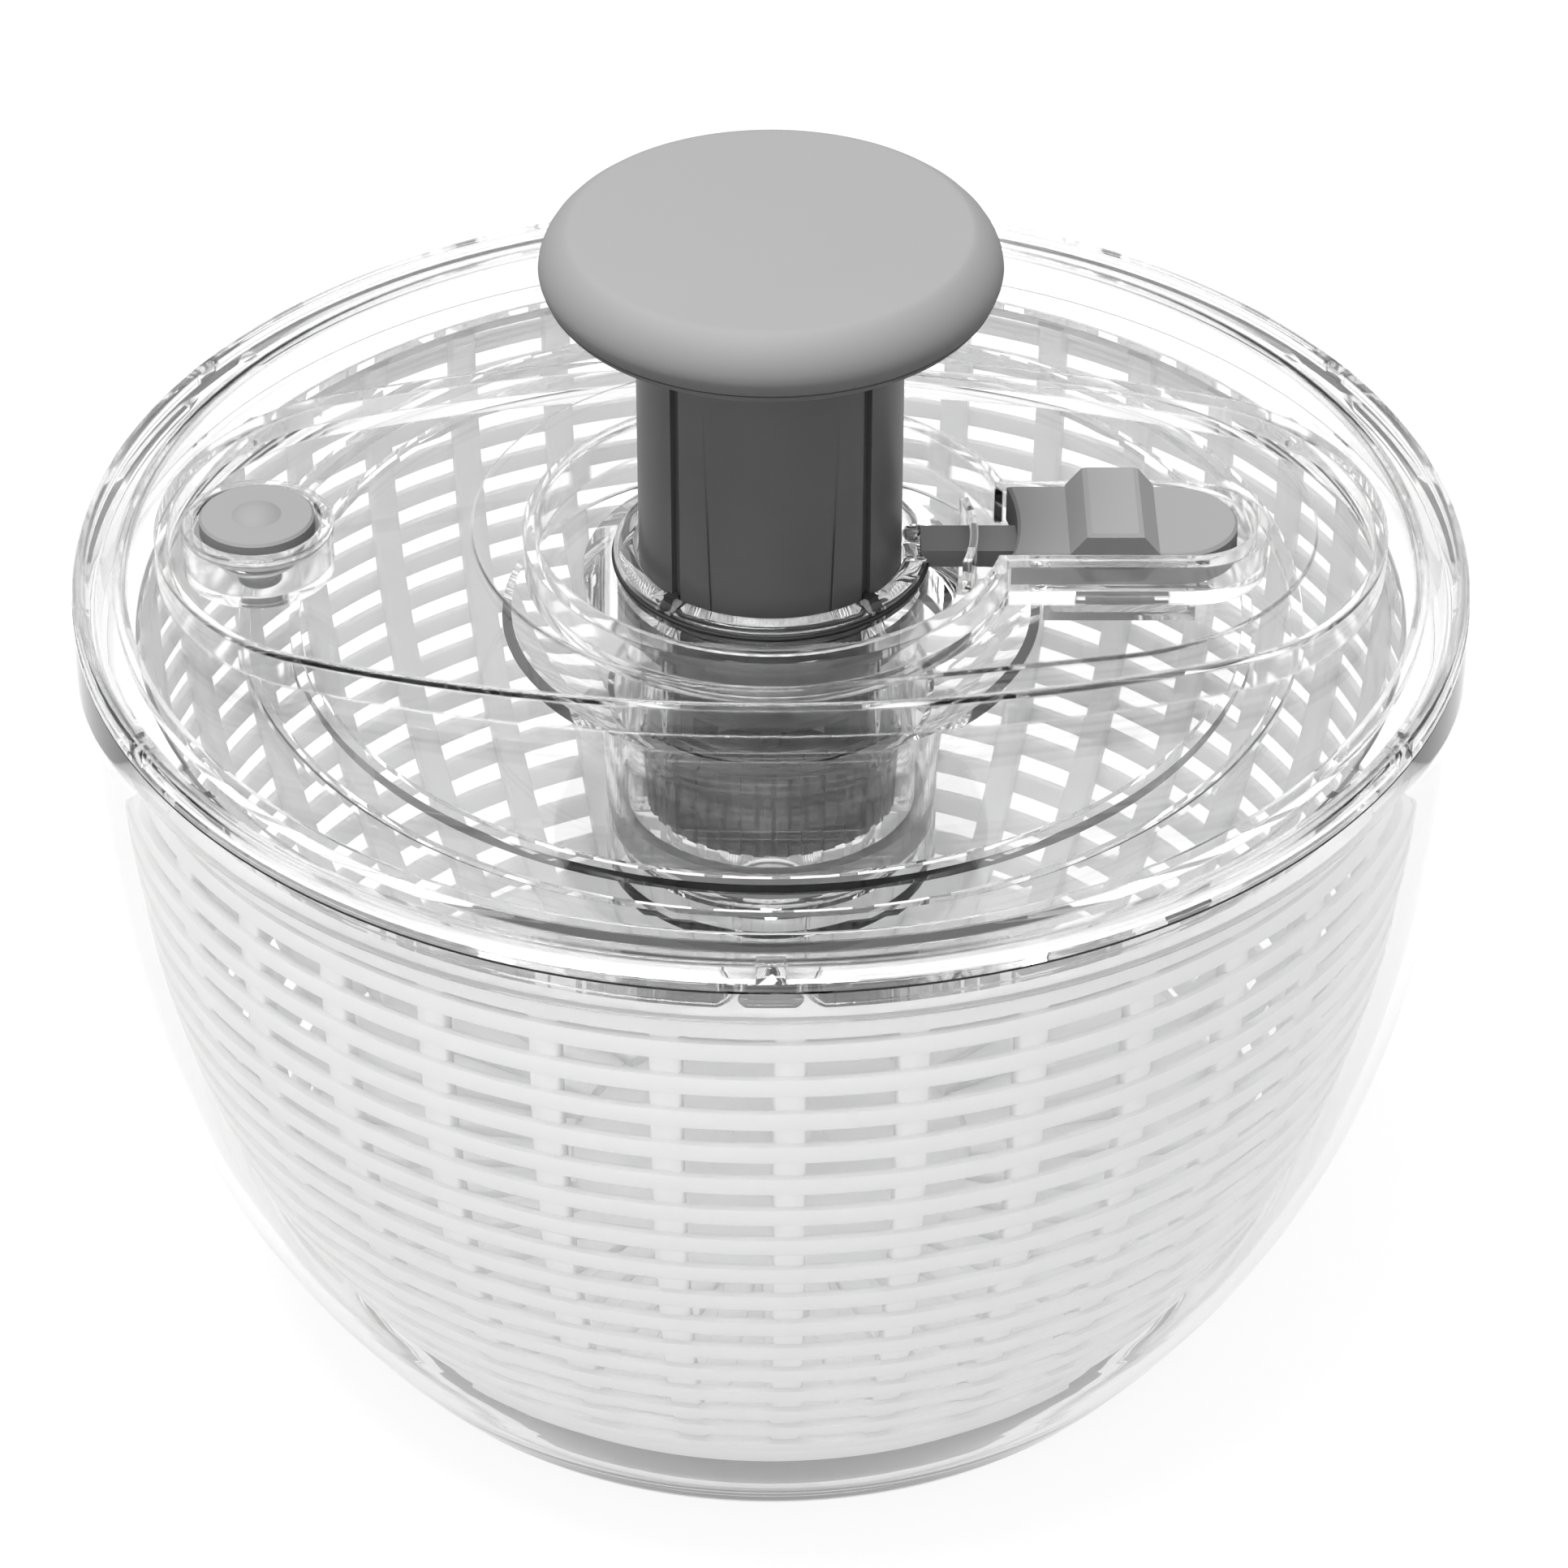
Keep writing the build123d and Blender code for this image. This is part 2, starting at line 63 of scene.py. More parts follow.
bowl_low, bowl_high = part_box("bowl")
MM = 0.001
print("bowl: %.1f mm across, %.1f mm high" % ((bowl_high.x - bowl_low.x) / MM, bowl_high.z / MM))

# %% [markdown]
# ## Camera
# The spinner is seen from the front and from well above, about 35 degrees, with a long lens. A long lens keeps
# the rim a calm ellipse, as product pictures do. The aim point is on the axis, a little under the middle.

# %% Camera
CAMERA_DISTANCE = 1.061
CAMERA_PITCH = math.radians(35.51)
AIM_HEIGHT = 0.1071
LENS = 123.5


def aim(thing, place, target):
    thing.location = place
    thing.rotation_euler = (Vector(target) - Vector(place)).to_track_quat("-Z", "Y").to_euler()


camera_data = bpy.data.cameras.new("camera")
camera = bpy.data.objects.new("camera", camera_data)
bpy.context.scene.collection.objects.link(camera)
camera_data.lens = LENS
camera_data.sensor_width = 36.0
camera_data.shift_x = 0.0083
back_off = CAMERA_DISTANCE * math.cos(CAMERA_PITCH)
rise = CAMERA_DISTANCE * math.sin(CAMERA_PITCH)
aim(camera, (0, -back_off, AIM_HEIGHT + rise), (0, 0, AIM_HEIGHT))
bpy.context.scene.camera = camera
print("camera at", [round(v, 4) for v in camera.location])

# %% [markdown]
# ## Floor and light
# Clear plastic shows itself only by what it bends and mirrors. On a plain white set it would vanish, so the
# set is white above and below but has a darker band at the height of the horizon. Thick edges and steep walls
# catch that band and draw themselves as grey and black lines. The floor is a wide pale sheet that glows a
# little, like a lit table, so hardly any shadow falls on it. One large soft lamp overhead makes the tops
# brighter than the sides, and a weak one in front keeps the basket white.

# %% Floor, world and lamps
scene = bpy.context.scene
scene.view_settings.view_transform = "Standard"
scene.cycles.max_bounces = 24
scene.cycles.transmission_bounces = 24
scene.cycles.glossy_bounces = 12
scene.cycles.diffuse_bounces = 4
scene.cycles.transparent_max_bounces = 32
scene.cycles.sample_clamp_indirect = 6.0


def link(tree, a, b):
    tree.links.new(a, b)


def node(tree, kind, **values):
    """A new node; values name its properties, or its input sockets where a name has spaces or capitals."""
    made = tree.nodes.new(kind)
    for name, value in values.items():
        if hasattr(made, name):
            setattr(made, name, value)
        else:
            made.inputs[name.replace("_", " ")].default_value = value
    return made


def ramp(tree, stops):
    """A colour ramp of grey stops: (position, brightness)."""
    made = tree.nodes.new("ShaderNodeValToRGB")
    made.color_ramp.interpolation = "EASE"
    elements = made.color_ramp.elements
    while len(elements) < len(stops):
        elements.new(0.5)
    for element, (place, level) in zip(elements, stops):
        element.position = place
        element.color = (level, level, level, 1)
    return made


def build_world():
    world = bpy.data.worlds.new("studio")
    scene.world = world
    world.use_nodes = True
    tree = world.node_tree
    tree.nodes.clear()
    place = tree.nodes.new("ShaderNodeTexCoord")
    parts = tree.nodes.new("ShaderNodeSeparateXYZ")
    level = node(tree, "ShaderNodeMath", operation="MULTIPLY_ADD")
    level.inputs[1].default_value = 0.5
    level.inputs[2].default_value = 0.5
    # 0 is straight down, 0.5 the horizon, 1 straight up
    shade = ramp(tree, [(0.0, 1.0), (0.45, 1.0), (0.50, 0.28), (0.54, 0.40), (0.61, 1.1), (1.0, 1.3)])
    background = node(tree, "ShaderNodeBackground", Strength=1.0)
    out = tree.nodes.new("ShaderNodeOutputWorld")
    link(tree, place.outputs["Generated"], parts.inputs[0])
    link(tree, parts.outputs["Z"], level.inputs[0])
    link(tree, level.outputs[0], shade.inputs[0])
    link(tree, shade.outputs[0], background.inputs["Color"])
    link(tree, background.outputs[0], out.inputs["Surface"])


def area_lamp(name, place, target, size, power):
    data = bpy.data.lights.new(name, "AREA")
    data.shape = "DISK"
    data.size = size
    data.energy = power
    lamp = bpy.data.objects.new(name, data)
    scene.collection.objects.link(lamp)
    aim(lamp, place, target)
    return lamp


def build_floor():
    mesh = bpy.data.meshes.new("floor")
    half = 4.0
    corners = [(-half, -half, 0), (half, -half, 0), (half, half, 0), (-half, half, 0)]
    mesh.from_pydata(corners, [], [(0, 1, 2, 3)])
    floor = bpy.data.objects.new("floor", mesh)
    scene.collection.objects.link(floor)
    paint = bpy.data.materials.new("pale_floor")
    paint.use_nodes = True
    shader = paint.node_tree.nodes["Principled BSDF"]
    shader.inputs["Base Color"].default_value = (0.12, 0.12, 0.12, 1)
    shader.inputs["Roughness"].default_value = 0.9
    shader.inputs["Specular IOR Level"].default_value = 0.0
    shader.inputs["Emission Color"].default_value = (1, 1, 1, 1)
    # bare pieces get less light from below than the clear plastic passes on, so their sides stay darker
    rays = paint.node_tree.nodes.new("ShaderNodeLightPath")
    glow = node(paint.node_tree, "ShaderNodeMath", operation="MULTIPLY_ADD")
    glow.inputs[1].default_value = -0.74
    glow.inputs[2].default_value = 0.88
    link(paint.node_tree, rays.outputs["Is Diffuse Ray"], glow.inputs[0])
    link(paint.node_tree, glow.outputs[0], shader.inputs["Emission Strength"])
    mesh.materials.append(paint)
    floor.location.z = -0.0006
    return floor


build_world()
build_floor()
area_lamp("top_lamp", (-0.25, -0.2, 1.7), (0, 0, 0.1), 0.9, 52.0)
area_lamp("front_fill", (-0.3, -1.7, 0.9), (0, 0, 0.08), 1.4, 6.0)

# %% [markdown]
# ## Effects that several finishes share
# A moulded surface is never quite even. Two small node groups hold what more than one plastic has: the fine
# grain of a spark-eroded mould with its slightly uneven roughness, and the slow swirl left where the melt
# flowed. Each is a group with named inputs, so a finish only sets how large and how strong it is.

# %% Shader groups
def new_group(name, inputs, outputs):
    group = bpy.data.node_groups.new(name, "ShaderNodeTree")
    for label, kind, value in inputs:
        made = group.interface.new_socket(label, in_out="INPUT", socket_type=kind)
        made.default_value = value
    for label, kind in outputs:
        group.interface.new_socket(label, in_out="OUTPUT", socket_type=kind)
    return group, group.nodes.new("NodeGroupInput"), group.nodes.new("NodeGroupOutput")


def mould_grain_group():
    """Fine even bumps: a height and a slightly uneven roughness."""
    group, given, result = new_group(
        "mould_grain",
        [("Grain size", "NodeSocketFloat", 1800.0), ("Roughness", "NodeSocketFloat", 0.5),
         ("Unevenness", "NodeSocketFloat", 0.1)],
        [("Height", "NodeSocketFloat"), ("Roughness", "NodeSocketFloat")])
    place = group.nodes.new("ShaderNodeTexCoord")
    fine = node(group, "ShaderNodeTexNoise", Detail=3.0, Roughness=0.6)
    slow = node(group, "ShaderNodeTexNoise", Scale=38.0, Detail=2.0)
    centred = node(group, "ShaderNodeMath", operation="SUBTRACT")
    centred.inputs[1].default_value = 0.5
    scaled = node(group, "ShaderNodeMath", operation="MULTIPLY")
    total = node(group, "ShaderNodeMath", operation="ADD")
    link(group, place.outputs["Object"], fine.inputs["Vector"])
    link(group, given.outputs["Grain size"], fine.inputs["Scale"])
    link(group, place.outputs["Object"], slow.inputs["Vector"])
    link(group, slow.outputs["Fac"], centred.inputs[0])
    link(group, centred.outputs[0], scaled.inputs[0])
    link(group, given.outputs["Unevenness"], scaled.inputs[1])
    link(group, scaled.outputs[0], total.inputs[0])
    link(group, given.outputs["Roughness"], total.inputs[1])
    link(group, fine.outputs["Fac"], result.inputs["Height"])
    link(group, total.outputs[0], result.inputs["Roughness"])
    return group


def melt_flow_group():
    """Slow swirls, stretched round the axis, as the melt leaves them: a tint and a height."""
    group, given, result = new_group(
        "melt_flow",
        [("Light tint", "NodeSocketColor", (1, 1, 1, 1)), ("Dark tint", "NodeSocketColor", (0.9, 0.9, 0.9, 1)),
         ("Swirl size", "NodeSocketFloat", 14.0)],
        [("Color", "NodeSocketColor"), ("Height", "NodeSocketFloat")])
    place = group.nodes.new("ShaderNodeTexCoord")
    stretch = group.nodes.new("ShaderNodeMapping")
    stretch.inputs["Scale"].default_value = (1.0, 1.0, 3.5)
    swirl = node(group, "ShaderNodeTexNoise", Detail=2.0, Distortion=0.6)
    blend = node(group, "ShaderNodeMix", data_type="RGBA")
    link(group, place.outputs["Object"], stretch.inputs["Vector"])
    link(group, stretch.outputs[0], swirl.inputs["Vector"])
    link(group, given.outputs["Swirl size"], swirl.inputs["Scale"])
    link(group, swirl.outputs["Fac"], blend.inputs["Factor"])
    link(group, given.outputs["Dark tint"], blend.inputs["A"])
    link(group, given.outputs["Light tint"], blend.inputs["B"])
    link(group, blend.outputs["Result"], result.inputs["Color"])
    link(group, swirl.outputs["Fac"], result.inputs["Height"])
    return group


MOULD_GRAIN = mould_grain_group()
MELT_FLOW = melt_flow_group()
print("shader groups:", [g.name for g in bpy.data.node_groups])

# %% [markdown]
# ## Finishes
# The opaque plastics are one recipe with different numbers: a base colour that the melt flow varies a little,
# grain in the bump, and roughness that is not quite even.

# %% Opaque plastics
def group_node(tree, group, **values):
    made = tree.nodes.new("ShaderNodeGroup")
    made.node_tree = group
    for name, value in values.items():
        made.inputs[name.replace("_", " ")].default_value = value
    return made


def plastic(name, light, dark, roughness, grain_size=1800.0, grain=0.00002, unevenness=0.08):
    made = bpy.data.materials.new(name)
    made.use_nodes = True
    tree = made.node_tree
    shader = tree.nodes["Principled BSDF"]
    shader.inputs["IOR"].default_value = 1.49
    flow = group_node(tree, MELT_FLOW, Light_tint=(light,) * 3 + (1,), Dark_tint=(dark,) * 3 + (1,))
    mould = group_node(tree, MOULD_GRAIN, Grain_size=grain_size, Roughness=roughness, Unevenness=unevenness)
    bump = node(tree, "ShaderNodeBump", Strength=0.5, Distance=grain)
    link(tree, flow.outputs["Color"], shader.inputs["Base Color"])
    link(tree, mould.outputs["Roughness"], shader.inputs["Roughness"])
    link(tree, mould.outputs["Height"], bump.inputs["Height"])
    link(tree, bump.outputs["Normal"], shader.inputs["Normal"])
    return made


KNOB_GREY = plastic("knob_grey", 0.135, 0.123, 0.72)
SHAFT_GREY = plastic("shaft_grey", 0.075, 0.066, 0.36, grain=0.000008)
DRUM_BLACK = plastic("drum_black", 0.022, 0.014, 0.42)
BASKET_WHITE = plastic("basket_white", 0.96, 0.94, 0.38, grain=0.00001)
PALE_NYLON = plastic("pale_nylon", 0.72, 0.68, 0.45)
SEAL_BLACK = plastic("seal_black", 0.012, 0.008, 0.6)
print("opaque plastics:", [m.name for m in bpy.data.materials if m.name != "pale_floor"])


# %% [markdown]
# ## Clear plastic and steel
# The clear plastic is fully transmitting with hardly any roughness, so that edges bend what lies behind them.
# Its refractive index is 1.45, a little under that of solid acrylic, which keeps thick places lighter. A long
# way through plastic takes light away, so the colour darkens where the surface is seen along its length. The
# lid's sharp corners are rounded in the shading, which gives each edge its own thin line of light. The steel
# of the springs and screws is drawn wire, smooth along its length and a little uneven.

# %% Clear acrylic and steel
def clear_acrylic(name, ripple=0.00004, roughness=0.0, tint=0.985, edge_tint=0.5, soft_edge=0.0):
    made = bpy.data.materials.new(name)
    made.use_nodes = True
    tree = made.node_tree
    shader = tree.nodes["Principled BSDF"]
    shader.inputs["Transmission Weight"].default_value = 1.0
    shader.inputs["IOR"].default_value = 1.45
    flow = group_node(tree, MELT_FLOW, Light_tint=(1, 1, 1, 1), Dark_tint=(tint, tint, tint, 1),
                      Swirl_size=9.0)
    grazing = node(tree, "ShaderNodeLayerWeight", Blend=0.5)
    edge = ramp(tree, [(0.0, 1.0), (0.45, 1.0), (0.62, 0.93), (0.80, edge_tint ** 0.5), (1.0, edge_tint)])
    both = node(tree, "ShaderNodeMix", data_type="RGBA", blend_type="MULTIPLY")
    both.inputs["Factor"].default_value = 1.0
    haze = group_node(tree, MOULD_GRAIN, Grain_size=260.0, Roughness=roughness, Unevenness=0.02)
    bump = node(tree, "ShaderNodeBump", Strength=0.25, Distance=ripple)
    link(tree, grazing.outputs["Facing"], edge.inputs[0])
    link(tree, flow.outputs["Color"], both.inputs["A"])
    link(tree, edge.outputs[0], both.inputs["B"])
    link(tree, both.outputs["Result"], shader.inputs["Base Color"])
    link(tree, haze.outputs["Roughness"], shader.inputs["Roughness"])
    link(tree, flow.outputs["Height"], bump.inputs["Height"])
    link(tree, bump.outputs["Normal"], shader.inputs["Normal"])
    if soft_edge:
        corner = node(tree, "ShaderNodeBevel", samples=3)
        corner.inputs["Radius"].default_value = soft_edge
        link(tree, corner.outputs[0], bump.inputs["Normal"])
    return made


def drawn_steel(name):
    made = bpy.data.materials.new(name)
    made.use_nodes = True
    tree = made.node_tree
    shader = tree.nodes["Principled BSDF"]
    shader.inputs["Metallic"].default_value = 1.0
    flow = group_node(tree, MELT_FLOW, Light_tint=(0.62, 0.62, 0.63, 1), Dark_tint=(0.5, 0.5, 0.5, 1))
    marks = group_node(tree, MOULD_GRAIN, Grain_size=900.0, Roughness=0.28, Unevenness=0.2)
    link(tree, flow.outputs["Color"], shader.inputs["Base Color"])
    link(tree, marks.outputs["Roughness"], shader.inputs["Roughness"])
    return made


CLEAR = clear_acrylic("clear_acrylic")
CLEAR_SOFT = clear_acrylic("clear_acrylic_soft_edges", soft_edge=0.0007)
STEEL = drawn_steel("drawn_steel")

FINISH_OF_SLOT = {
    "clear_plastic": CLEAR, "white_plastic": BASKET_WHITE, "dark_plastic": SHAFT_GREY,
    "grey_plastic": KNOB_GREY, "pale_plastic": PALE_NYLON, "black_rubber": SEAL_BLACK, "steel": STEEL,
}
OWN_FINISH = {"lid_shell": CLEAR_SOFT, "clutch_drum": DRUM_BLACK, "clutch_cap": DRUM_BLACK,
              "guide_keys": SEAL_BLACK,
              "twist_rod": DRUM_BLACK}
for part in frame["record"]["subparts"]:
    name = part["node"]
    mesh = NODES[name].data
    mesh.materials.clear()
    mesh.materials.append(OWN_FINISH.get(name, FINISH_OF_SLOT[part["material_slot"]]))


# %% [markdown]
# ## Sections turned round the axis, and things repeated round it
# Nearly every piece here is a section swept round one axis, with a few features repeated at equal steps. Two
# Geometry Nodes trees do both jobs. The first takes closed section loops drawn as radius and height and sweeps
# them round the axis. The second takes one finished feature and sets copies of it round the axis. The sizes
# are named inputs, so a maker can change the count without touching the rest.

# %% The two trees
SWEEP_R = 0.1


def tree_with(name, inputs):
    tree = bpy.data.node_groups.new(name, "GeometryNodeTree")
    tree.is_modifier = True
    tree.interface.new_socket("Geometry", in_out="INPUT", socket_type="NodeSocketGeometry")
    for label, kind, value in inputs:
        made = tree.interface.new_socket(label, in_out="INPUT", socket_type=kind)
        if value is not None:
            made.default_value = value
    tree.interface.new_socket("Geometry", in_out="OUTPUT", socket_type="NodeSocketGeometry")
    return tree, tree.nodes.new("NodeGroupInput"), tree.nodes.new("NodeGroupOutput")


def finish_tree(tree, given, result, geometry):
    realize = tree.nodes.new("GeometryNodeRealizeInstances")
    paint = tree.nodes.new("GeometryNodeSetMaterial")
    link(tree, geometry, realize.inputs[0])
    link(tree, realize.outputs[0], paint.inputs["Geometry"])
    link(tree, given.outputs["Material"], paint.inputs["Material"])
    link(tree, paint.outputs[0], result.inputs["Geometry"])


def build_sweep_tree():
    """Section loops, x as radius and z as height, swept round the axis in equal steps."""
    tree, given, result = tree_with("sweep_round_axis", [
        ("Steps", "NodeSocketInt", 180), ("Path radius", "NodeSocketFloat", SWEEP_R),
        ("Material", "NodeSocketMaterial", None)])
    loops = tree.nodes.new("GeometryNodeMeshToCurve")
    circle = tree.nodes.new("GeometryNodeCurvePrimitiveCircle")
    sweep = tree.nodes.new("GeometryNodeCurveToMesh")
    smooth = tree.nodes.new("GeometryNodeSetShadeSmooth")
    link(tree, given.outputs["Geometry"], loops.inputs["Mesh"])
    link(tree, given.outputs["Steps"], circle.inputs["Resolution"])
    link(tree, given.outputs["Path radius"], circle.inputs["Radius"])
    link(tree, circle.outputs["Curve"], sweep.inputs["Curve"])
    link(tree, loops.outputs["Curve"], sweep.inputs["Profile Curve"])
    link(tree, sweep.outputs["Mesh"], smooth.inputs[0])
    finish_tree(tree, given, result, smooth.outputs[0])
    return tree


def build_repeat_tree():
    """One feature set round the axis at equal steps, from a first angle."""
    tree, given, result = tree_with("repeat_round_axis", [
        ("Count", "NodeSocketInt", 12), ("First angle", "NodeSocketFloat", 0.0),
        ("Material", "NodeSocketMaterial", None)])
    places = tree.nodes.new("GeometryNodePoints")
    which = tree.nodes.new("GeometryNodeInputIndex")
    step = node(tree, "ShaderNodeMath", operation="DIVIDE")
    step.inputs[0].default_value = math.tau
    angle = node(tree, "ShaderNodeMath", operation="MULTIPLY_ADD")
    turn = tree.nodes.new("ShaderNodeCombineXYZ")
    copies = tree.nodes.new("GeometryNodeInstanceOnPoints")
    link(tree, given.outputs["Count"], places.inputs["Count"])
    link(tree, given.outputs["Count"], step.inputs[1])
    link(tree, which.outputs[0], angle.inputs[0])
    link(tree, step.outputs[0], angle.inputs[1])
    link(tree, given.outputs["First angle"], angle.inputs[2])
    link(tree, angle.outputs[0], turn.inputs["Z"])
    link(tree, places.outputs[0], copies.inputs["Points"])
    link(tree, given.outputs["Geometry"], copies.inputs["Instance"])
    link(tree, turn.outputs[0], copies.inputs["Rotation"])
    finish_tree(tree, given, result, copies.outputs["Instances"])
    return tree


SWEEP = build_sweep_tree()
REPEAT = build_repeat_tree()


def grown(tree, mesh, **inputs):
    """The mesh that the tree makes from this one."""
    holder = bpy.data.objects.new("grown", mesh)
    scene.collection.objects.link(holder)
    modifier = holder.modifiers.new("grow", "NODES")
    modifier.node_group = tree
    keys = {item.name: item.identifier for item in tree.interface.items_tree if item.in_out == "INPUT"}
    for name, value in inputs.items():
        modifier[keys[name.replace("_", " ")]] = value
    made = bpy.data.meshes.new_from_object(holder.evaluated_get(bpy.context.evaluated_depsgraph_get()))
    bpy.data.objects.remove(holder)
    return made


def faced_outward(mesh):
    shape = bmesh.new()
    shape.from_mesh(mesh)
    bmesh.ops.remove_doubles(shape, verts=shape.verts, dist=1e-6)
    bmesh.ops.dissolve_degenerate(shape, edges=shape.edges, dist=1e-7)
    bmesh.ops.recalc_face_normals(shape, faces=shape.faces)
    shape.to_mesh(mesh)
    shape.free()
    return mesh


def rounded(points, radius, steps=3):
    """A closed loop of (radius, height) corners, each rounded."""
    made = []
    count = len(points)
    for i in range(count):
        here = Vector(points[i][:2])
        before, after = Vector(points[i - 1][:2]) - here, Vector(points[(i + 1) % count][:2]) - here
        bend = before.angle(after, math.pi)
        if bend > math.radians(176):
            made.append(here)
            continue
        reach = min(radius / math.tan(bend / 2), 0.46 * before.length, 0.46 * after.length)
        a, b = here + before.normalized() * reach, here + after.normalized() * reach
        for k in range(steps + 1):
            t = k / steps
            made.append(a * (1 - t) ** 2 + here * 2 * t * (1 - t) + b * t ** 2)
    return [(p.x, p.y) for p in made]


def section_mesh(loops):
    """Closed loops of (radius, height) in mm as a wire mesh lying where the sweep expects it."""
    spots, edges = [], []
    for loop in loops:
        first = len(spots)
        spots += [(r * MM - SWEEP_R, -z * MM, 0) for r, z in loop]
        edges += [(first + i, first + (i + 1) % len(loop)) for i in range(len(loop))]
    mesh = bpy.data.meshes.new("section")
    mesh.from_pydata(spots, edges, [])
    return mesh


def swept(loops, material, steps=180):
    return faced_outward(grown(SWEEP, section_mesh(loops), Steps=steps, Material=material))


def joined(name, meshes, body, stands_for):
    """One piece from several meshes, riding on its body and standing for its CAD nodes."""
    shape = bmesh.new()
    for mesh in meshes:
        shape.from_mesh(mesh)
    mesh = bpy.data.meshes.new(name)
    shape.to_mesh(mesh)
    shape.free()
    for material in meshes[0].materials:
        mesh.materials.append(material)
    mesh.set_sharp_from_angle(angle=math.radians(48))
    piece = bpy.data.objects.new(name, mesh)
    scene.collection.objects.link(piece)
    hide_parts(*stands_for)
    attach(piece, body)
    low, high = [Vector([f(v.co[i] for v in mesh.vertices) for i in range(3)]) for f in (min, max)]
    print("%s: %d faces, radius %.1f mm, from %.1f to %.1f mm high"
          % (name, len(mesh.polygons), high.x / MM, low.z / MM, high.z / MM))
    return piece


# %% [markdown]
# ## Bowl
# The bowl is one deep moulding with a wall of 2.6 mm. Its side leaves the foot at a slant and ends upright, so
# one smooth curve draws it. The wall follows that curve at an even distance, since an even wall cools without
# sink marks. The edges are rounded, and under the floor the foot stands on a narrow ring.

# %% Bowl
SIDE = np.array([(0, 91.2), (3, 93.45), (6, 95.6), (10, 98.45), (16, 102.4), (25, 107.9), (34, 112.7),
                 (45, 117.8), (59, 122.9), (75, 127.1), (89, 129.8), (105, 131.8), (124, 133.1), (140, 133.35),
                 (157.9, 133.3)])
WALL = 2.6


def smooth_curve(points, count):
    """An even Catmull-Rom curve through (height, radius) points."""
    padded = np.vstack([2 * points[0] - points[1], points, 2 * points[-1] - points[-2]])
    made = []
    for i in range(len(points) - 1):
        p0, p1, p2, p3 = padded[i:i + 4]
        for t in np.linspace(0, 1, count, endpoint=False):
            made.append(0.5 * (2 * p1 + (p2 - p0) * t + (2 * p0 - 5 * p1 + 4 * p2 - p3) * t * t
                               + (3 * p1 - p0 - 3 * p2 + p3) * t ** 3))
    return np.array(made + [points[-1]])


FINE = smooth_curve(SIDE, 6)


def inside_of(inset):
    """The side moved inwards: heights and radii."""
    slope = np.gradient(FINE, axis=0)
    length = np.hypot(slope[:, 0], slope[:, 1])
    inward = np.column_stack([slope[:, 1] / length * inset, -slope[:, 0] / length * inset])
    return FINE + inward


def radius_at(z, inset=0.0):
    curve = inside_of(inset)
    return float(np.interp(z, curve[:, 0], curve[:, 1]))


top = bowl_high.z / MM
outer = [(r, z) for z, r in FINE[::2] if 1.2 < z < top - 0.7]
inner = [(r, z) for z, r in inside_of(WALL)[::2] if 6.8 < z < top - 0.7]
lip = [(133.1, top - 0.25), (132.6, top), (131.4, top), (130.85, top - 0.25)]
foot = [(86.8, 4.5), (9.5, 4.5), (5.6, 7.2), (5.0, 8.4), (5.0, 15.2), (4.4, 16.6), (3.0, 17.0), (0, 17.0),
        (0, 0.9), (86.4, 0.9), (87.4, 0.3), (88.4, 0.0), (90.6, 0.0), (91.4, 0.4)]
bowl_piece = joined("bowl_moulding", [swept([outer + lip + inner[::-1] + foot], CLEAR, 256)], "bowl", ["bowl"])

# %% [markdown]
# ## Basket
# The basket is one white moulding. Sixteen hoops run round outside and thirty-six ribs run down inside, and
# where they cross they are one piece. Water leaves through the open windows between them. The hoops are swept
# loops and the ribs are one rib repeated, so both counts can be changed in one place.

# %% Basket
HOOPS, HOOP_PITCH, HOOP_TOP, HOOP_HEIGHT = 16, 7.75, 142.3, 4.1
BASKET_GAP, HOOP_DEPTH, RIB_REACH, RIB_SET_IN = 6.5, 1.9, 4.2, 1.1
RIBS, RIB_TURN, RIB_WIDTH = 36, math.radians(-88.5), 5.8


def hoop_loop(i):
    up = HOOP_TOP - i * HOOP_PITCH
    down = up - HOOP_HEIGHT
    ru, rd = radius_at(up, BASKET_GAP), radius_at(down, BASKET_GAP)
    return rounded([(rd - HOOP_DEPTH, down), (rd, down), (ru, up), (ru - HOOP_DEPTH, up)], 0.7, 2)


def rib_mesh():
    """One rib down the inside of the wall and in across the floor, with softened edges."""
    heights = np.concatenate([np.linspace(146.5, 26, 22), [22, 18.5]])
    outside = [(radius_at(z, BASKET_GAP + RIB_SET_IN), z) for z in heights]
    outside += [(87, 12.0), (82, 11.6), (40.5, 11.6)]
    inside = [(radius_at(z, BASKET_GAP + RIB_REACH), z) for z in heights]
    inside += [(86, 15.8), (80, 15.4), (41.5, 15.4)]
    half, soft = RIB_WIDTH / 2, 0.55
    spots, faces = [], []
    for (ro, zo), (ri, zi) in zip(outside, inside):
        o, n = Vector((ro, 0, zo)), Vector((ri - ro, 0, zi - zo))
        deep = soft / n.length
        for t, y in ((0, half - soft), (deep, half), (1 - deep, half), (1, half - soft),
                     (1, soft - half), (1 - deep, -half), (deep, -half), (0, soft - half)):
            spots.append((o + n * t + Vector((0, y, 0))) * MM)
    rings = len(outside)
    for k in range(rings - 1):
        faces += [(8 * k + j, 8 * k + (j + 1) % 8, 8 * k + 8 + (j + 1) % 8, 8 * k + 8 + j) for j in range(8)]
    faces += [tuple(range(8)), tuple(range(8 * rings - 1, 8 * rings - 9, -1))]
    mesh = bpy.data.meshes.new("rib")
    mesh.from_pydata(spots, [], faces)
    return faced_outward(mesh)


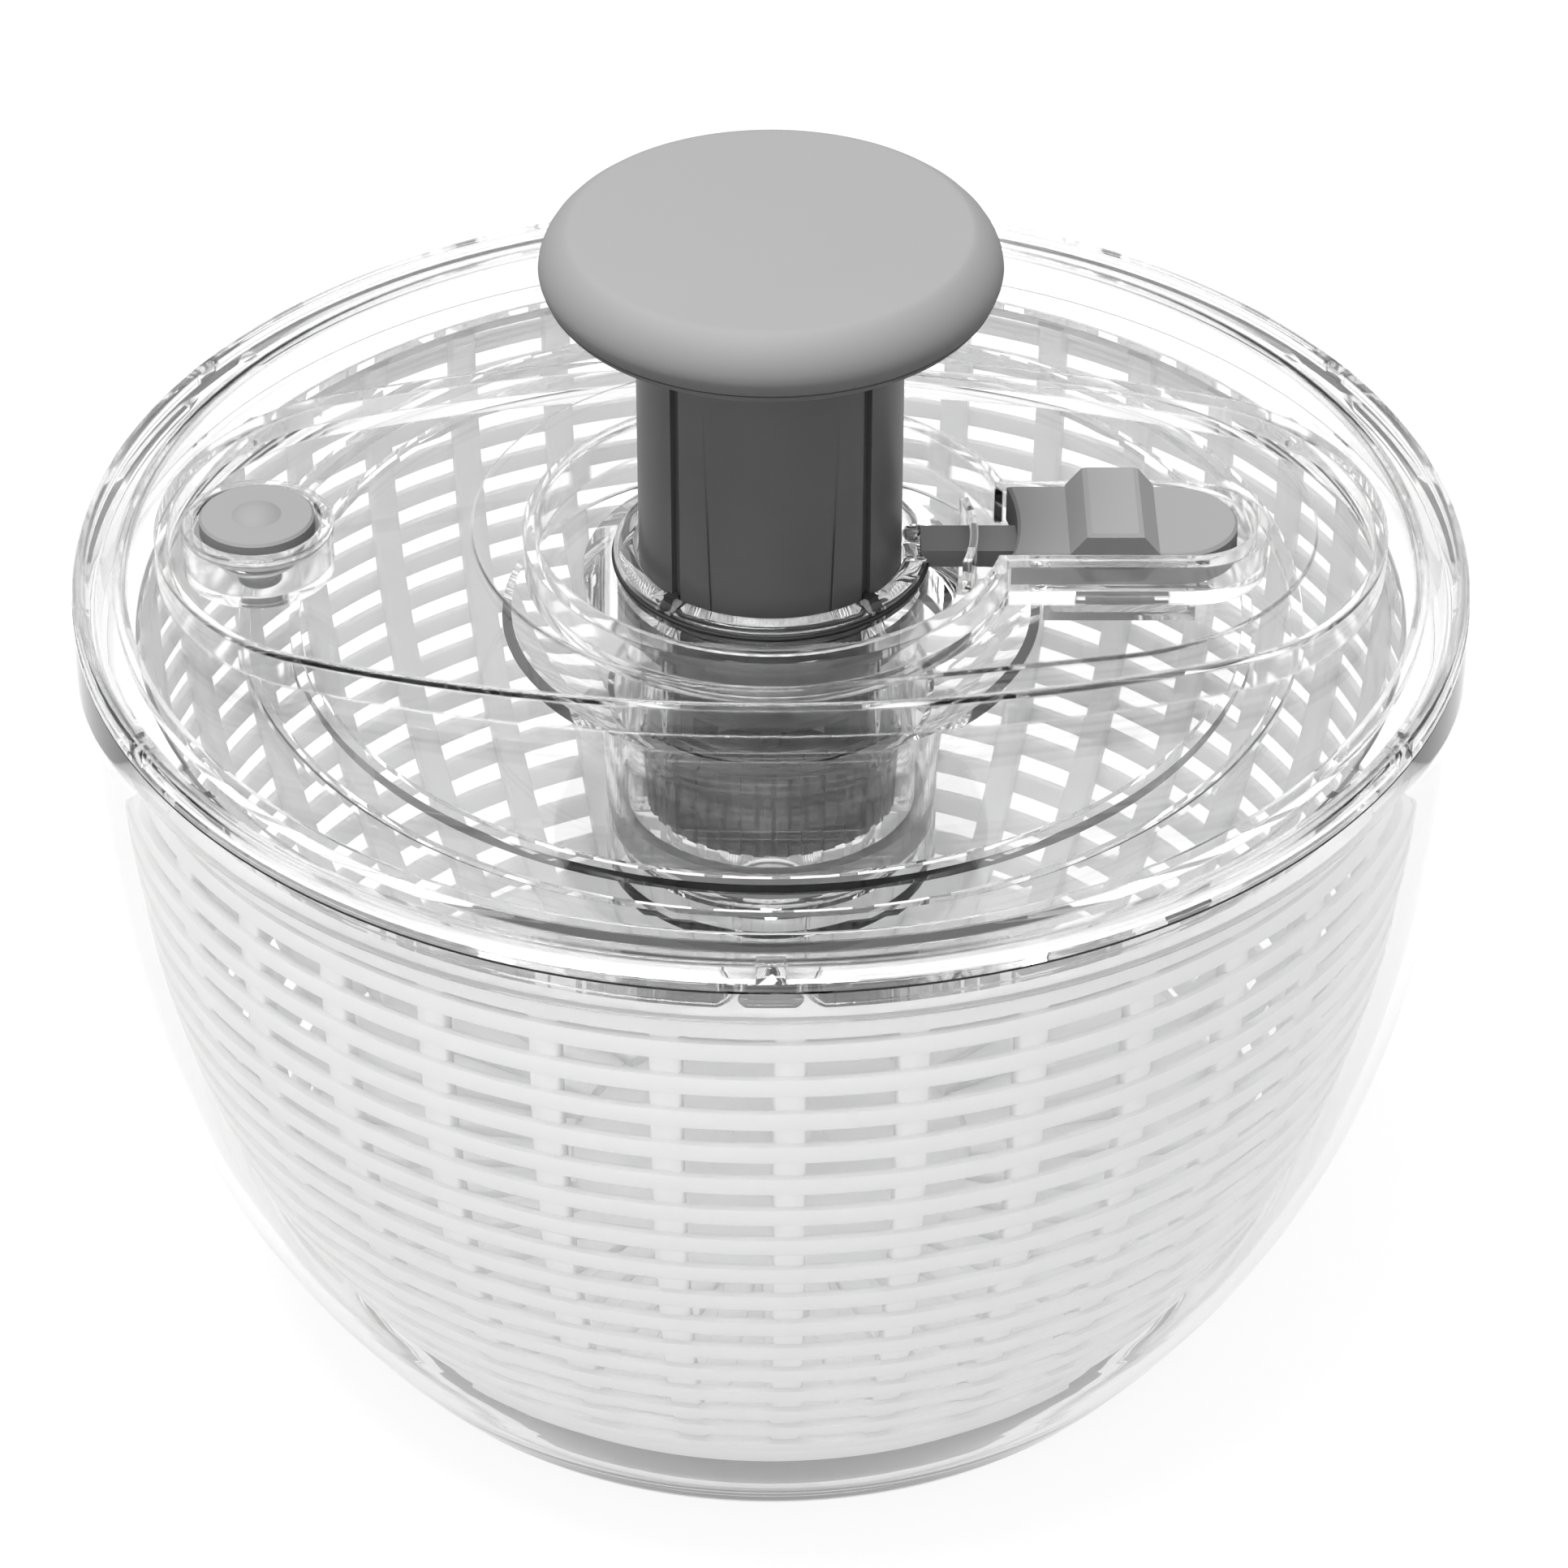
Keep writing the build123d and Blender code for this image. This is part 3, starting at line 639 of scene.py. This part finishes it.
def notched_rim():
    """Top ring, with six notches for the tabs of the spinning disc."""
    corners = [(127.2, 143.7), (127.2, 150.3), (121.6, 150.3), (121.6, 148.3), (124.1, 147.2), (124.1, 143.7)]
    mesh = swept([rounded(corners, 0.6, 2)], BASKET_WHITE, 360)
    for v in mesh.vertices:
        r, angle = math.hypot(v.co.x, v.co.y) / MM, math.degrees(math.atan2(v.co.y, v.co.x))
        off = (angle + 90 + 30) % 60 - 30
        if abs(off) < 2.2 and r < 123.9:
            v.co.x *= 123.95 / r
            v.co.y *= 123.95 / r
    return mesh


dish = [(radius_at(20.8, BASKET_GAP + 0.4), 20.8), (92.5, 13.4), (87, 11.0), (11, 11.0), (9, 8.2), (5.2, 8.2),
        (5.2, 17.3), (0, 17.3), (0, 19.9), (8.6, 19.9), (13, 13.2), (84, 13.2), (radius_at(20.8, 9.1), 20.8)]
hoops = swept([hoop_loop(i) for i in range(HOOPS)], BASKET_WHITE, 180)
ribs = grown(REPEAT, rib_mesh(), Count=RIBS, First_angle=RIB_TURN, Material=BASKET_WHITE)
floor_dish = swept([rounded(dish, 0.5, 2)], BASKET_WHITE, 180)
basket_piece = joined("basket_moulding", [hoops, ribs, notched_rim(), floor_dish], "basket", ["basket"])

# %% [markdown]
# ## Knob
# The knob's top is flat and rolls over into a fat rounded side. The rolled edge is tight enough to draw a
# line, which is what makes the flat read as flat. The cap meets the band of the lower half in a fine groove.

# %% Knob
roll = [(42.9, 224.3), (43.0, 225.0), (42.8, 226.4), (42.2, 228.0), (41.2, 229.6), (39.9, 231.0),
        (38.6, 232.0), (37.7, 232.5), (37.2, 232.66), (36.6, 232.7)]
hollow = [(0, 232.7), (0, 230.1), (35.5, 230.1), (38.8, 226), (38.8, 221.9)]
cap = [(41.9, 221.9), (42.5, 223.0)] + roll + hollow
knob_piece = joined("knob_top", [swept([cap], KNOB_GREY, 256)], "plunger", ["knob_cap"])

# %% [markdown]
# ## Seal round the collar
# A thin black cord lies in the collar's groove. It is round in section, so that it rolls into the groove and
# seals on a line.

# %% Seal
cord = rounded([(29.55, 161.3), (30.5, 161.3), (30.5, 162.15), (29.55, 162.15)], 0.4, 3)
seal = swept([cord], SEAL_BLACK, 160)
seal_piece = joined("collar_cord", [seal], "lid", ["collar_seal"])

# %% [markdown]
# ## Clear parts that lie against the lid
# Three clear parts touch the lid's underside: the guide tube's flange, the lower ring and the slider's trough.
# Two clear faces in exactly one place would trap light and turn black. Real parts never touch all over, so
# each keeps a hair of air, a tenth of a millimetre, under the lid.

# %% Air gap under the lid
AIR = 0.1
WELL_UNDERSIDE, RING_SEAT = 157.8, 159.8


def seated_copy(node_name, level=0.0, material=CLEAR):
    """A merged copy of a CAD part, with its face at this height, if any, lowered by the air gap."""
    shape = bmesh.new()
    shape.from_mesh(NODES[node_name].data)
    bmesh.ops.remove_doubles(shape, verts=shape.verts, dist=2e-6)
    moved = [v for v in shape.verts if abs(v.co.z - level * MM) < 1e-5]
    for v in moved:
        v.co.z -= AIR * MM
    for face in shape.faces:
        face.smooth = True
    mesh = bpy.data.meshes.new(node_name + "_copy")
    shape.to_mesh(mesh)
    shape.free()
    mesh.materials.append(material)
    print(node_name, "lowered", len(moved), "points by", AIR, "mm")
    return mesh


tube_piece = joined("guide_tube_moulding", [seated_copy("guide_tube", WELL_UNDERSIDE)], "lid", ["guide_tube"])
ring_piece = joined("lid_ring_moulding", [seated_copy("lid_ring", RING_SEAT)], "lid", ["lid_ring"])
trough_piece = joined("slider_trough", [seated_copy("slider_guide", WELL_UNDERSIDE)], "lid", ["slider_guide"])

# %% [markdown]
# ## Springs
# Two wire springs, each a merged copy of its CAD coil in drawn steel with a mesh of its own. Each rides on the
# moving part that presses it and keeps its length here.


def closing_spring(name, node_name, body):
    piece = joined(name, [seated_copy(node_name, material=STEEL)], body, [node_name])
    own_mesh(piece)


closing_spring("pump_coil", "return_spring", "plunger")
closing_spring("button_coil", "brake_spring", "brake")

# %% [markdown]
# ## Under the bowl
# A dark disc under the foot is painted shade. It stands in for the shade under the bowl, belongs to the set
# and not to the spinner, and is hidden from the camera and from diffuse light. The bowl's thick floor bends
# its darkness into a grey crescent at the front, which shows how thick the floor is.

# %% Painted shade card under the bowl
SHADE_CARD_R, SHADE_CARD_CORNERS = 0.0885, 96


def place_shade_card():
    """A dark disc under the foot, painted shade seen only through the clear plastic: the thick floor of the
    bowl bends it into a grey crescent at the front.
    """
    mesh = bpy.data.meshes.new("shade_card_disc")
    angles = np.linspace(0, math.tau, SHADE_CARD_CORNERS, endpoint=False)
    ring = [(SHADE_CARD_R * math.cos(a), SHADE_CARD_R * math.sin(a), 0) for a in angles]
    mesh.from_pydata(ring, [], [tuple(range(SHADE_CARD_CORNERS))])
    shade_card = bpy.data.objects.new("shade_card_disc", mesh)
    scene.collection.objects.link(shade_card)
    shade_card.location.z = -0.0004
    # painted shade: a dark colour that stands in for the shade under the bowl
    mesh.materials.append(plastic("shade_card_dark", 0.10, 0.07, 0.9))
    # the camera and diffuse light don't see this painted shade disc, so it shows only bent through the clear
    # plastic
    shade_card.visible_camera = shade_card.visible_diffuse = False


place_shade_card()
